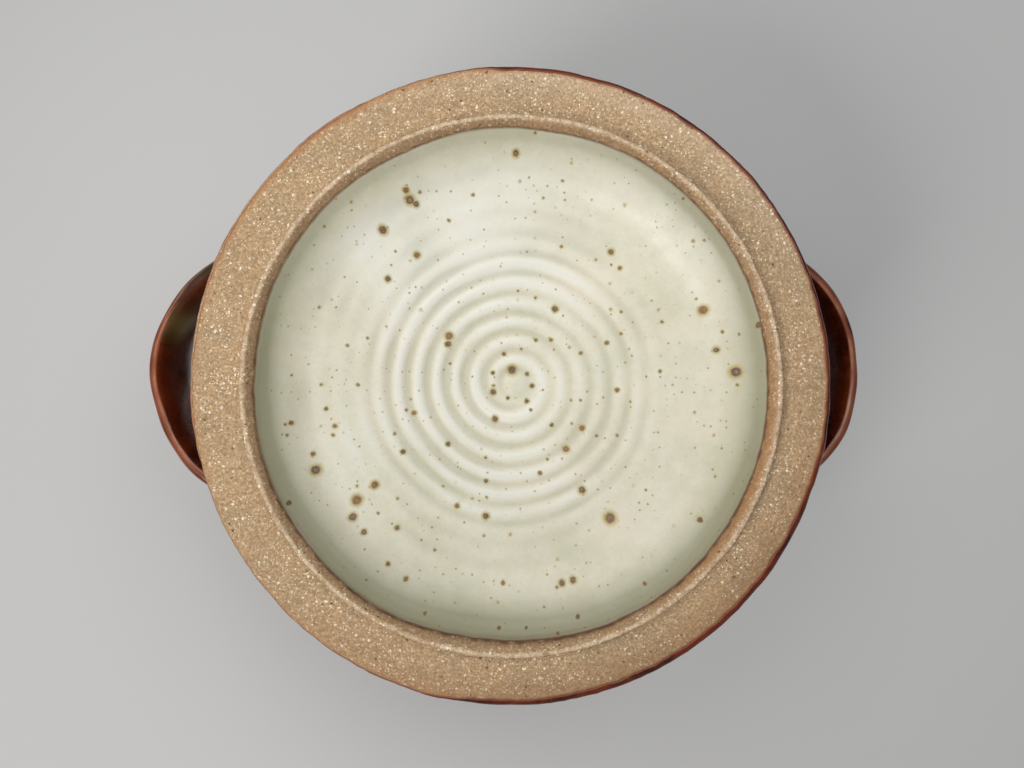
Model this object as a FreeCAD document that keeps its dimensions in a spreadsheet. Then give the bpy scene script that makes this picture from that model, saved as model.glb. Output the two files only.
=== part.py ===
import enum
import FreeCAD, Part
import math
import os
import Sketcher

# Stoneware bean pot with two ear handles. Its loose lid lies upside down on the rim.
# Millimetres, +Z up. The origin is the middle of the foot's resting face, on the pot's axis.
# The right handle points to +X.

SIZES = {
    # Pot
    "pot_height": 165.0,
    "mouth_radius": 108.0,
    "foot_radius": 93.0,
    "foot_width": 9.0,
    "foot_height": 6.0,
    "foot_recess": 4.0,
    "foot_rounding": 1.5,
    "belly_bulge": 18.0,
    "belly_height": 80.0,
    "wall_thickness": 8.0,
    "floor_thickness": 9.0,
    "floor_corner_radius": 20.0,
    "neck_step": 7.0,
    "neck_rounding": 7.0,
    "flare_height": 9.0,
    "rim_width": 19.0,
    "rim_thickness": 8.0,
    "rim_rounding": 2.5,
    # Handles
    "handle_projection": 20.7,
    "handle_height": 120.0,
    "handle_bend_radius": 55.5,
    "handle_width": 35.0,
    "handle_thickness": 8.0,
    "handle_root_width": 41.0,
    "handle_root_thickness": 10.0,
    "left_handle_angle": 177.9,
    "right_handle_angle": 3.3,
    # Lid, named as it lies upside down
    "flange_inset": 1.0,
    "flange_thickness": 7.5,
    "flange_rounding": 2.5,
    "ring_clearance": 1.5,
    "ring_height": 4.2,
    "ring_width": 5.5,
    "ring_taper": 0.8,
    "ring_crest_width": 1.9,
    "ring_rounding": 0.7,
    "dish_depth": 26.0,
    "dish_rise": 13.5,
    "dish_side_run": 17.0,
    "dish_corner_radius": 35.0,
    "lid_wall": 7.0,
    "dome_clearance": 5.0,
    "lid_shift_right": 2.8,
    "lid_shift_front": 1.2,
    # Knob
    "knob_neck_radius": 10.0,
    "knob_radius": 16.0,
    "knob_height": 23.0,
    "knob_grip_height": 9.0,
    "knob_rounding": 3.0,
}

# The ends of a handle's sweep lie this far round its bend, inside the wall that trims them.
ROOT_TURN = 95.0

# Two places closer than this are the same edge.
SAME_PLACE = 0.01


class Spot(enum.IntEnum):
    """How sketch constraints number the places on an edge."""

    START = 1
    END = 2
    CENTRE = 3


class Axis(enum.IntEnum):
    """How sketch constraints number the sketch's own axes."""

    LEVEL = -1
    UPRIGHT = -2


class Oval(enum.IntEnum):
    """How a sketch that starts with an ellipse numbers the ellipse's axes."""

    LONG = 1
    SHORT = 2


doc = FreeCAD.newDocument("bean_pot")
sheet = doc.addObject("Spreadsheet::Sheet", "Sizes")
for row, (alias, setting) in enumerate(SIZES.items(), start=1):
    sheet.set(f"A{row}", alias)
    sheet.set(f"B{row}", str(setting))
    sheet.setAlias(f"B{row}", alias)
doc.recompute()


class Size:
    """A length: its number now, and the spreadsheet expression that keeps it current."""

    def __init__(self, number, text):
        self.number = float(number)
        self.text = text

    def __add__(self, other):
        return Size(self.number + other.number, f"({self.text} + {other.text})")

    def __sub__(self, other):
        return Size(self.number - other.number, f"({self.text} - {other.text})")

    def __mul__(self, other):
        return Size(self.number * other.number, f"({self.text} * {other.text})")

    def __truediv__(self, other):
        return Size(self.number / other.number, f"({self.text} / {other.text})")

    def half(self):
        return Size(self.number / 2, f"({self.text} / 2)")


def size(alias):
    return Size(sheet.get(alias), f"Sizes.{alias}")


ZERO = Size(0.0, "0")


def number(length):
    return length.number if isinstance(length, Size) else length


def place(point):
    return FreeCAD.Vector(number(point[0]), number(point[1]), 0)


# Outlines

def sketch_on(body, name, role):
    sketch = body.newObject("Sketcher::SketchObject", name)
    plane = next(item for item in body.Origin.OriginFeatures if item.Role == role)
    sketch.AttachmentSupport = [(plane, "")]
    sketch.MapMode = "FlatFace"
    return sketch


def bind(sketch, kind, edge, end, length):
    """Holds a point of an edge at a distance from the sketch's origin, or on its axis at zero."""
    if length is ZERO:
        axis = Axis.UPRIGHT if kind == "DistanceX" else Axis.LEVEL
        sketch.addConstraint(Sketcher.Constraint("PointOnObject", edge, end, axis))
        return
    index = sketch.addConstraint(
        Sketcher.Constraint(kind, Axis.LEVEL, Spot.START, edge, end, length.number)
    )
    sketch.setExpression(f"Constraints[{index}]", length.text)


def bind_point(sketch, edge, end, point):
    """Holds both coordinates that are Sizes. A plain number only starts one that stays free."""
    for kind, length in zip(("DistanceX", "DistanceY"), point):
        if isinstance(length, Size):
            bind(sketch, kind, edge, end, length)


def arc_edge(first, last, centre, turns_left):
    start = math.atan2(first.y - centre.y, first.x - centre.x)
    stop = math.atan2(last.y - centre.y, last.x - centre.x)
    circle = Part.Circle(centre, FreeCAD.Vector(0, 0, 1), (first - centre).Length)
    return Part.ArcOfCircle(circle, *((start, stop) if turns_left else (stop, start)))


def draw_outline(sketch, corners, arcs):
    """Closes straight edges and arcs through the corners. arcs gives, for an edge, its centre
    and whether it turns left."""
    ends = []
    for index, corner in enumerate(corners):
        first = place(corner)
        last = place(corners[(index + 1) % len(corners)])
        if index in arcs:
            centre, turns_left = arcs[index]
            sketch.addGeometry(arc_edge(first, last, place(centre), turns_left), False)
            ends.append((Spot.START, Spot.END) if turns_left else (Spot.END, Spot.START))
        else:
            sketch.addGeometry(Part.LineSegment(first, last), False)
            ends.append((Spot.START, Spot.END))
    for index, (start, stop) in enumerate(ends):
        following = (index + 1) % len(ends)
        sketch.addConstraint(
            Sketcher.Constraint("Coincident", index, stop, following, ends[following][0])
        )
    for index, corner in enumerate(corners):
        bind_point(sketch, index, ends[index][0], corner)
    for index, (centre, turns_left) in arcs.items():
        bind_point(sketch, index, Spot.CENTRE, centre)


def share_centre(sketch, edge, other):
    sketch.addConstraint(Sketcher.Constraint("Coincident", edge, Spot.CENTRE, other, Spot.CENTRE))


def turn_on_axis(body, name, sketch):
    """Revolves a section about the body's upright axis."""
    solid = body.newObject("PartDesign::Revolution", name)
    solid.Profile = sketch
    solid.ReferenceAxis = (sketch, ["V_Axis"])
    solid.Angle = 360
    doc.recompute()


def round_rings(body, name, rings, radius):
    """Rounds the ring edges that lie at the given (radius, height) places of the body."""
    base = body.Tip
    chosen = []
    for index, edge in enumerate(base.Shape.Edges, start=1):
        if edge.Degenerated or not isinstance(edge.Curve, Part.Circle):
            continue
        for ring_radius, height in rings:
            near_radius = abs(edge.Curve.Radius - number(ring_radius)) < SAME_PLACE
            if near_radius and abs(edge.Curve.Center.z - number(height)) < SAME_PLACE:
                chosen.append(f"Edge{index}")
    if len(chosen) < len(rings):
        raise RuntimeError(f"{name}: found {len(chosen)} of {len(rings)} edges")
    rounding = body.newObject("PartDesign::Fillet", name)
    rounding.Base = (base, chosen)
    rounding.Radius = radius.number
    rounding.setExpression("Radius", radius.text)
    doc.recompute()


def new_body(label):
    body = doc.addObject("PartDesign::Body", label)
    body.Label = label
    return body


# Pot

POT_TOP = size("pot_height")
RIM_UNDERSIDE = POT_TOP - size("rim_thickness")
RIM_RADIUS = size("mouth_radius") + size("rim_width")
NECK = (size("mouth_radius") + size("neck_step"), RIM_UNDERSIDE - size("flare_height"))
BELLY = (NECK[0] + size("belly_bulge"), size("belly_height"))
FOOT_CORNER = (size("foot_radius"), size("foot_height"))
FLOOR_TOP = size("foot_recess") + size("floor_thickness")
FOOT_INSIDE = size("foot_radius") - size("foot_width")


def level_centre(point):
    """Distance from the axis to the centre of the arc that leaves the belly upright and
    passes through the point."""
    belly = place(BELLY)
    other = place(point)
    across = belly.x - other.x
    rise = belly.y - other.y
    return belly.x - (across * across + rise * rise) / (2 * across)


def inner_wall(point, height):
    """Where the inside of the wall stands at a height, on the arc that runs to the point."""
    centre = level_centre(point)
    radius = BELLY[0].number - centre - size("wall_thickness").number
    rise = number(height) - BELLY[1].number
    return centre + math.sqrt(radius * radius - rise * rise)


def outer_wall():
    """The outside of the pot from the foot to the rim, with its two belly arcs."""
    corners = [
        (size("foot_radius"), ZERO),
        FOOT_CORNER,
        BELLY,
        NECK,
        (RIM_RADIUS, RIM_UNDERSIDE),
        (RIM_RADIUS, POT_TOP),
    ]
    arcs = {
        corners.index(FOOT_CORNER): ((level_centre(FOOT_CORNER), BELLY[1]), True),
        corners.index(BELLY): ((level_centre(NECK), BELLY[1]), True),
    }
    return corners, arcs


def build_pot_body():
    body = new_body("pot_body")
    section = sketch_on(body, "pot_section", "XZ_Plane")
    corners, arcs = outer_wall()
    neck_inside = (inner_wall(NECK, NECK[1]), NECK[1])
    belly_inside = (BELLY[0] - size("wall_thickness"), BELLY[1])
    floor_edge = (inner_wall(FOOT_CORNER, FLOOR_TOP), FLOOR_TOP)
    inside = [
        (size("mouth_radius"), POT_TOP),
        neck_inside,
        belly_inside,
        floor_edge,
        (ZERO, FLOOR_TOP),
        (ZERO, size("foot_recess")),
        (FOOT_INSIDE, size("foot_recess")),
        (FOOT_INSIDE, ZERO),
    ]
    corners = corners + inside
    for corner, reached in ((neck_inside, NECK), (belly_inside, FOOT_CORNER)):
        free_centre = (level_centre(reached), BELLY[1].number)
        arcs[corners.index(corner)] = (free_centre, False)
    draw_outline(section, corners, arcs)
    share_centre(section, corners.index(neck_inside), corners.index(BELLY))
    share_centre(section, corners.index(belly_inside), corners.index(FOOT_CORNER))
    turn_on_axis(body, "thrown_wall", section)
    round_rings(body, "floor_corner", [floor_edge], size("floor_corner_radius"))
    round_rings(body, "neck_corner", [NECK], size("neck_rounding"))
    rim_edges = [
        (RIM_RADIUS, RIM_UNDERSIDE),
        (RIM_RADIUS, POT_TOP),
        (size("mouth_radius"), POT_TOP),
    ]
    round_rings(body, "rim_edges", rim_edges, size("rim_rounding"))
    foot_edges = [(size("foot_radius"), ZERO), (FOOT_INSIDE, ZERO)]
    round_rings(body, "foot_edges", foot_edges, size("foot_rounding"))
    return body


# Handles

# The middle of a strap stands this far out from the pot's axis at the middle of its bend.
HANDLE_REACH = BELLY[0] + size("handle_projection")
BEND_CENTRE = HANDLE_REACH - size("handle_bend_radius")


def strap_section(body, name, turn, width, thickness):
    """An oval section of the strap, upright, at an angle round the handle's bend."""
    section = sketch_on(body, name, "XZ_Plane")
    across = FreeCAD.Vector(BEND_CENTRE.number, size("handle_height").number, 0)
    section.AttachmentOffset = FreeCAD.Placement(
        across, FreeCAD.Rotation(FreeCAD.Vector(0, 1, 0), turn)
    )
    section.setExpression(".AttachmentOffset.Base.x", BEND_CENTRE.text)
    section.setExpression(".AttachmentOffset.Base.y", "Sizes.handle_height")
    middle = FreeCAD.Vector(size("handle_bend_radius").number, 0, 0)
    top = middle + FreeCAD.Vector(0, width.half().number, 0)
    side = middle + FreeCAD.Vector(thickness.half().number, 0, 0)
    section.addGeometry(Part.Ellipse(top, side, middle), False)
    section.exposeInternalGeometry(0)
    bind_point(section, 0, Spot.CENTRE, (size("handle_bend_radius"), ZERO))
    section.addConstraint(Sketcher.Constraint("Vertical", Oval.LONG))
    for axis, length in ((Oval.LONG, width), (Oval.SHORT, thickness)):
        index = section.addConstraint(Sketcher.Constraint("Distance", axis, length.number))
        section.setExpression(f"Constraints[{index}]", length.text)
    return section


def strap_path(body):
    path = sketch_on(body, "strap_path", "XY_Plane")
    path.AttachmentOffset = FreeCAD.Placement(
        FreeCAD.Vector(0, 0, size("handle_height").number), FreeCAD.Rotation()
    )
    path.setExpression(".AttachmentOffset.Base.z", "Sizes.handle_height")
    radius = size("handle_bend_radius")
    turn = math.radians(ROOT_TURN)
    circle = Part.Circle(place((BEND_CENTRE, ZERO)), FreeCAD.Vector(0, 0, 1), radius.number)
    path.addGeometry(Part.ArcOfCircle(circle, -turn, turn), False)
    bind_point(path, 0, Spot.CENTRE, (BEND_CENTRE, ZERO))
    index = path.addConstraint(Sketcher.Constraint("Radius", 0, radius.number))
    path.setExpression(f"Constraints[{index}]", radius.text)
    return path


def build_handle(label, angle_alias):
    body = new_body(label)
    path = strap_path(body)
    root_size = (size("handle_root_width"), size("handle_root_thickness"))
    first_root = strap_section(body, "first_root", -ROOT_TURN, *root_size)
    grip = strap_section(body, "grip", 0, size("handle_width"), size("handle_thickness"))
    second_root = strap_section(body, "second_root", ROOT_TURN, *root_size)
    doc.recompute()
    strap = body.newObject("PartDesign::AdditivePipe", "strap")
    strap.Profile = first_root
    strap.Spine = path
    strap.Transformation = "Multisection"
    strap.Sections = [grip, second_root]
    doc.recompute()
    whole = strap.Shape.Volume
    pot_form = sketch_on(body, "pot_form", "XZ_Plane")
    corners, arcs = outer_wall()
    draw_outline(pot_form, corners + [(ZERO, POT_TOP), (ZERO, ZERO)], arcs)
    trim = body.newObject("PartDesign::Groove", "trim_to_wall")
    trim.Profile = pot_form
    trim.ReferenceAxis = (pot_form, ["V_Axis"])
    trim.Angle = 360
    doc.recompute()
    if not 0 < trim.Shape.Volume < whole:
        raise RuntimeError(f"{label}: the wall trimmed nothing")
    body.Placement = FreeCAD.Placement(
        FreeCAD.Vector(), FreeCAD.Rotation(FreeCAD.Vector(0, 0, 1), size(angle_alias).number)
    )
    body.setExpression(".Placement.Rotation.Angle", f"Sizes.{angle_alias}")
    return body


# Lid

FLANGE_RADIUS = RIM_RADIUS - size("flange_inset")
FLANGE_TOP = POT_TOP + size("flange_thickness")
RING_CREST = FLANGE_TOP + size("ring_height")
RING_RADIUS = size("mouth_radius") - size("ring_clearance")
RING_INSIDE = RING_RADIUS - size("ring_width")
CREST_RADIUS = RING_RADIUS - size("ring_taper")
CREST_INSIDE = CREST_RADIUS - size("ring_crest_width")
DISH_BOTTOM = FLANGE_TOP - size("dish_depth")
DOME_BOTTOM = DISH_BOTTOM - size("lid_wall")
DISH_CORNER = (RING_INSIDE - size("dish_side_run"), DISH_BOTTOM + size("dish_rise"))
DOME_CORNER = DISH_CORNER[0] + size("lid_wall").half()

# The dish's floor is part of a ball that passes through its middle and its corner.
DISH_CURVE = (DISH_CORNER[0] * DISH_CORNER[0] / size("dish_rise") + size("dish_rise")).half()
DOME_CURVE = DISH_CURVE + size("lid_wall")
DISH_CENTRE = (ZERO, DISH_BOTTOM + DISH_CURVE)
KNOB_END = DOME_BOTTOM - size("knob_height")


def dome_height(radius):
    """Height of the dome's outside at a radius, on a ball about the dish's centre."""
    across = radius.number
    reach = DOME_CURVE.number
    return DISH_CENTRE[1].number - math.sqrt(reach * reach - across * across)


def shift_lid(body):
    """Lays a piece of the lid where it rests, a little off the pot's axis."""
    body.setExpression(".Placement.Base.x", "Sizes.lid_shift_right")
    body.setExpression(".Placement.Base.y", "-Sizes.lid_shift_front")


def build_lid():
    body = new_body("lid")
    section = sketch_on(body, "lid_section", "XZ_Plane")
    dome_corner = (DOME_CORNER, dome_height(DOME_CORNER))
    corners = [
        (ZERO, DOME_BOTTOM),
        dome_corner,
        (size("mouth_radius") - size("dome_clearance"), POT_TOP),
        (FLANGE_RADIUS, POT_TOP),
        (FLANGE_RADIUS, FLANGE_TOP),
        (RING_RADIUS, FLANGE_TOP),
        (CREST_RADIUS, RING_CREST),
        (CREST_INSIDE, RING_CREST),
        (RING_INSIDE, FLANGE_TOP),
        DISH_CORNER,
        (ZERO, DISH_BOTTOM),
    ]
    dome_arc = 0
    dish_arc = corners.index(DISH_CORNER)
    free_centre = (DISH_CENTRE[0].number, DISH_CENTRE[1].number)
    level_free = (DISH_CENTRE[0], DISH_CENTRE[1].number)
    arcs = {dome_arc: (free_centre, True), dish_arc: (level_free, False)}
    draw_outline(section, corners, arcs)
    share_centre(section, dome_arc, dish_arc)
    turn_on_axis(body, "thrown_lid", section)
    round_rings(body, "dish_corner", [DISH_CORNER], size("dish_corner_radius"))
    round_rings(body, "dome_corner", [dome_corner],
                size("dish_corner_radius") + size("lid_wall"))
    flange_edges = [(FLANGE_RADIUS, POT_TOP), (FLANGE_RADIUS, FLANGE_TOP)]
    round_rings(body, "flange_edges", flange_edges, size("flange_rounding"))
    crest_edges = [(CREST_RADIUS, RING_CREST), (CREST_INSIDE, RING_CREST)]
    round_rings(body, "crest_edges", crest_edges, size("ring_rounding"))
    shift_lid(body)
    return body


def build_lid_knob():
    """The knob hangs from the middle of the dome while the lid lies upside down."""
    body = new_body("lid_knob")
    section = sketch_on(body, "knob_section", "XZ_Plane")
    neck = size("knob_neck_radius")
    grip_start = KNOB_END + size("knob_grip_height")
    neck_end = DOME_BOTTOM - (size("knob_height") - size("knob_grip_height")).half()
    corners = [
        (ZERO, DOME_BOTTOM),
        (neck, dome_height(neck)),
        (neck, neck_end),
        (size("knob_radius"), grip_start),
        (size("knob_radius"), KNOB_END),
        (ZERO, KNOB_END),
    ]
    draw_outline(section, corners, {0: (DISH_CENTRE, True)})
    turn_on_axis(body, "thrown_knob", section)
    grip_edges = [(size("knob_radius"), grip_start), (size("knob_radius"), KNOB_END)]
    round_rings(body, "grip_edges", grip_edges, size("knob_rounding"))
    shift_lid(body)
    return body


NODES = [
    build_pot_body(),
    build_handle("left_handle", "left_handle_angle"),
    build_handle("right_handle", "right_handle_angle"),
    build_lid(),
    build_lid_knob(),
]
doc.recompute()

for item in doc.Objects:
    if "Invalid" in item.State or "Error" in item.State:
        raise RuntimeError(f"{item.Label}: {item.State}")
for node in NODES:
    if node.Shape.isNull() or not node.Shape.isValid():
        raise RuntimeError(f"{node.Label}: no valid shape")

os.makedirs("parts", exist_ok=True)
for node in NODES:
    node.Shape.exportStep(f"parts/{node.Label}.step")
    print(node.Label, len(node.Shape.Solids), "solid", round(node.Shape.Volume), "mm3")
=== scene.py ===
import math

import bpy
import numpy as np
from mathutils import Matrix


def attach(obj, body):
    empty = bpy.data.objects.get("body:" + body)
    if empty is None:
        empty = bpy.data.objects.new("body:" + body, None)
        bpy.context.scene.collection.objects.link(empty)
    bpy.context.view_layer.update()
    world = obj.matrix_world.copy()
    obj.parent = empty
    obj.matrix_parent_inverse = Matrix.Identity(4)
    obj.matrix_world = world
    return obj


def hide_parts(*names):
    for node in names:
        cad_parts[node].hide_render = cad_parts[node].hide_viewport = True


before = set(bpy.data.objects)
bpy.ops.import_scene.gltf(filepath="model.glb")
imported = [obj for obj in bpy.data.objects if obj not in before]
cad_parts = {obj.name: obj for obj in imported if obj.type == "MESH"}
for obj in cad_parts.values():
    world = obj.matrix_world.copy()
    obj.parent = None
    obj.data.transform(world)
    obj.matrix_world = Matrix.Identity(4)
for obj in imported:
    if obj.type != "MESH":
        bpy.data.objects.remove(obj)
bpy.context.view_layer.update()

# Stoneware bean pot with its lid upside down on the rim. Sizes are millimetres until a mesh is made.
MM = 0.001

# Camera, straight above the lid
CAMERA_PLACE = (3.19, -0.41, 474.5)
LENS = 27.03
SENSOR = 36.0
PICTURE_WIDTH, PICTURE_HEIGHT = 1024, 768

# Pot
POT_TOP = 165.0
MOUTH_RADIUS = 108.0
RIM_RADIUS = 127.0
RIM_THICKNESS = 8.0
NECK_RADIUS = 115.0
NECK_HEIGHT = 148.0
BELLY_RADIUS = 133.0
BELLY_HEIGHT = 80.0
FOOT_RADIUS = 93.0
FOOT_HEIGHT = 6.0
FOOT_WIDTH = 9.0
FOOT_RECESS = 4.0
FLOOR_TOP = 13.0
WALL = 8.0

# Lid as it lies
LID_CENTRE = (2.8, -1.2)
FLANGE_RADIUS = 126.0
FLANGE_TOP = 172.5
RING_CREST = 176.7
RING_OUTSIDE = 106.5
RING_CREST_OUTSIDE = 105.7
RING_CREST_INSIDE = 103.8
RING_INSIDE = 101.0
DISH_BOTTOM = 146.5
DISH_CORNER_RADIUS = 84.0
DISH_RISE = 13.5
LID_WALL = 7.0
DOME_EDGE = 103.0
KNOB_NECK = 10.0
KNOB_RADIUS = 16.0
KNOB_END = 116.5
KNOB_GRIP = 9.0

# Radius up to which the dish and the dome are parts of balls, and the step between points there
BALL_END = 78
BALL_STEP = 3

# Handles
BEND_CENTRE = 98.2
BEND_RADIUS = 55.5
HANDLE_HEIGHT = 120.0
GRIP_WIDTH = 35.0
GRIP_THICKNESS = 8.0
ROOT_WIDTH = 41.0
ROOT_THICKNESS = 10.0
STRAP_SQUARENESS = 0.72
STRAP_BURIED = 3.5
STRAP_FLARE = 4.5
STRAP_FLARE_REACH = 3.2
ROOT_BEND = math.radians(95)
TOP_RIDGE = math.radians(94)
LOW_RIDGE = math.radians(262)
RIDGE_LEAN = math.radians(26)

# Each strap's turn round the pot, its seed, and the bends where it is olive and its ridge leans in
LEFT_STRAP = (math.radians(177.9), 71, math.radians(-24), -1.3)
RIGHT_STRAP = (math.radians(3.3), 81, None, None)

# Glaze. Its hidden underside lies a depth inside the clay and stops an inset short of its edge.
GLAZE_THICKNESS = 0.35
GLAZE_BEAD = 0.7
GLAZE_SETTLES = 6.0
LID_GLAZE_DEPTH = 1.6
POT_GLAZE_DEPTH = 2.0
GLAZE_INSET = 0.3

# Rows and columns of the meshes. Rows are dense in a zone beside a glaze's edge, and points along
# a rounded corner are a step apart at most.
EDGE_ZONE = 3.0
LID_COLUMNS = 360
POT_COLUMNS = 300
KNOB_COLUMNS = 120
STRAP_ROWS = 91
STRAP_COLUMNS = 56
ROUNDING_STEP = 0.3

# Throwing spiral in the dish
SPIRAL_PITCH = 8.07
SPIRAL_HEIGHT = 0.34
SPIRAL_PHASE = 0.66
SPIRAL_START = math.radians(310)
SPIRAL_CENTRE = (1.1, 0.7)
SPIRAL_FADES_FROM = 48.0
SPIRAL_FADES_TO = 68.0
SPIRAL_FADES_BY = 0.86

# Throwing lines on the pot's belly, inner wall and floor
OUTER_LINE_PITCH = 7.4
INNER_LINE_PITCH = 8.6
FLOOR_LINE_PITCH = 9.0

# Amounts round the lid, by the angle from +X towards +Y in degrees. First the strength of the
# spiral's rings, then how far the iron glaze laps over the flange's edge.
RING_STRENGTH = {0: 0.5, 45: 0.5, 90: 0.9, 135: 1.05, 200: 1.15, 260: 1.0, 300: 0.7}
LAP = {
    0: 3.0, 40: 3.1, 62: 3.1, 80: 3.2, 92: 3.0, 98: 0.5, 103: 0.0, 215: 0.0,
    240: 0.7, 256: 1.6, 264: 3.6, 285: 4.1, 310: 4.3, 340: 4.1, 350: 3.3,
}

# How dark the pale glaze is burnt at its very edge, and how deep it pools inside that, together with
# painted shade on the dish's side wall where it faces away from the light
EDGE_BURN = {
    0: 0.5, 40: 0.3, 90: 0.2, 130: 0.3, 180: 0.8,
    220: 1.0, 255: 1.2, 272: 1.6, 290: 1.2, 310: 1.0,
}
EDGE_POOL_AND_SHADE = {0: 0.6, 40: 0.65, 90: 0.35, 130: 0.4, 180: 0.8, 220: 1.05, 270: 1.05, 310: 0.9}

# The flange's reddish flash, its painted shade on the -Y side and painted light on the +Y side, and
# the toasted band by the ring
FLANGE_FLASH = {60: 0.35, 95: 0.8, 130: 0.95, 160: 0.5, 215: 0.3, 300: 0.55}
FLANGE_PAINTED_SHADE = {15: 0, 215: 0, 250: 0.5, 280: 0.95, 325: 1.0, 350: 0.4}
FLANGE_PAINTED_LIGHT = {15: 0, 40: 0.35, 90: 0.4, 120: 0}
RING_TOAST = {15: 0, 300: 0, 325: 1.0, 350: 1.0}

# Painted shade on the dish's -Y side, a painted highlight as a white crescent on its first ring, and
# painted light as a white band beyond the rings on its +Y side
DISH_SHADE = {0: 0.6, 50: 0, 150: 0, 200: 0.4, 260: 1.0, 315: 1.0}
DISH_PAINTED_HIGHLIGHT = {140: 0, 175: 0.8, 270: 1.0, 300: 0.5, 330: 0}
DISH_PAINTED_LIGHT = {55: 0, 90: 1.0, 130: 1.0, 165: 0}

# Colours of the bare clay and its grit
CLAY_BROWN = (0.39, 0.255, 0.138)
CLAY_TAN = (0.44, 0.29, 0.156)
CLAY_YELLOW = (0.5, 0.333, 0.182)
CLAY_GREYISH = (0.35, 0.255, 0.15)
CLAY_PIT = (0.28, 0.175, 0.09)
CLAY_CREST = (0.66, 0.48, 0.3)
CLAY_PAINTED_LIGHT = (0.72, 0.55, 0.39)
CLAY_TOASTED_AND_SHADED = (0.42, 0.18, 0.062)
CLAY_STAINED_AND_SHADED = (0.11, 0.06, 0.03)
PALE_GRIT = (0.95, 0.8, 0.6)
DARK_GRIT = (0.09, 0.055, 0.035)

# Colours of the pale glaze and its iron spots
PALE_GREY = (0.652, 0.605, 0.45)
PALE_CREAM = (0.714, 0.669, 0.522)
PALE_LIGHT = (0.754, 0.713, 0.572)
PALE_FLECK = (0.56, 0.52, 0.38)
PALE_GRAIN = (0.57, 0.55, 0.42)
PALE_GREEN = (0.56, 0.565, 0.42)
PALE_PINK = (0.75, 0.66, 0.52)
PALE_WHITE_AND_PAINTED_LIGHT = (0.805, 0.795, 0.735)
PALE_POOLED_AND_SHADED = (0.232, 0.222, 0.125)
PALE_BURNT = (0.13, 0.07, 0.028)
SPOT_HALO = (0.45, 0.34, 0.11)
SPOT_DARK = (0.1, 0.064, 0.036)
SPOT_RUST = (0.2, 0.098, 0.028)
SPOT_HEART = (0.27, 0.19, 0.13)

# Colours of the iron glaze
IRON_BLACK = (0.028, 0.003, 0.001)
IRON_RED = (0.125, 0.019, 0.004)
IRON_BRIGHT = (0.16, 0.03, 0.009)
IRON_GRAIN = (0.24, 0.08, 0.04)
IRON_THIN = (0.235, 0.068, 0.03)
IRON_OLIVE = (0.36, 0.31, 0.1)
IRON_DARK = (0.045, 0.03, 0.016)
IRON_BREAK = (0.43, 0.17, 0.095)
IRON_DARK_BREAK = (0.19, 0.13, 0.085)
IRON_SPECK = (0.012, 0.008, 0.006)

# Floor and light. A lamp has a bearing and a height in degrees, a distance and a size in metres,
# a power in watts and a tint.
FLOOR_GREY = (0.6, 0.59, 0.575)
FLOOR_PALE = (0.64, 0.63, 0.615)
FLOOR_REACH = 4000.0
LAMP_AIM = 0.15
WORLD_LIGHT = 0.28
LAMPS = {
    "key": (224, 45, 1.1, 0.45, 5.6, (1, 1, 1)),
    "window": (42, 62, 0.7, 0.3, 1.1, (0.84, 0.92, 1.0)),
    "top": (120, 56, 0.52, 0.35, 1.1, (1, 1, 1)),
}

# A distance over a radius, well outside a speck
FAR = 9.0

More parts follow.
